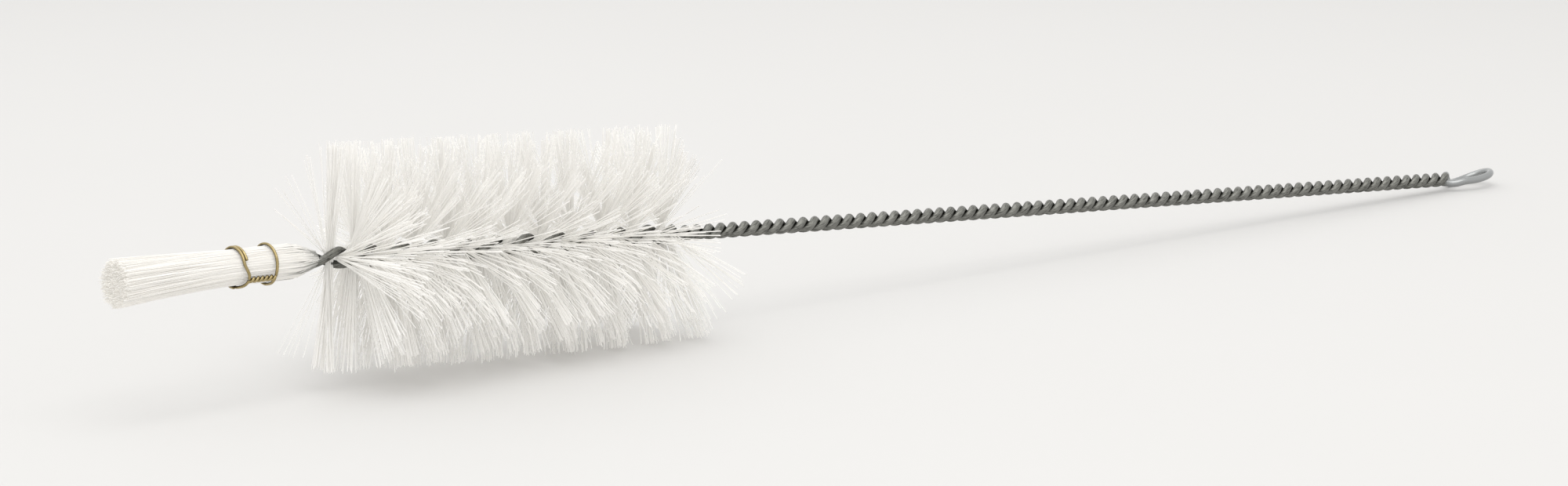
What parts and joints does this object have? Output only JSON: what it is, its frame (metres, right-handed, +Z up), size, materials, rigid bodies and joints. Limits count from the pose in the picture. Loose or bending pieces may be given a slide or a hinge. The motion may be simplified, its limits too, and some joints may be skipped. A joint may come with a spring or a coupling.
{
  "type": "bottle brush",
  "caption": "Long brush for cleaning bottles, flasks and tubes: a twisted wire stem with a hanging eye, a round bristle head and a soft tied tuft at the tip.",
  "frame": {"origin": "on the surface that the brush lies on, below the middle of its overall box", "axes": "+X along the brush towards its hanging eye, +Y across it, +Z up; the stem's axis lies in the XZ plane and falls 4.3 degrees towards the eye"},
  "size_m": [0.4708, 0.0552, 0.0604],
  "materials": {
    "galvanised_wire": "satin",
    "head_filaments": "satin",
    "tuft_filaments": "satin",
    "brass_wire": "satin"
  },
  "bodies": {
    "root": {"stem_wire": "galvanised_wire", "head_bristles": "head_filaments", "tip_tuft": "tuft_filaments", "tie_wire": "brass_wire"}
  },
  "joints": []
}
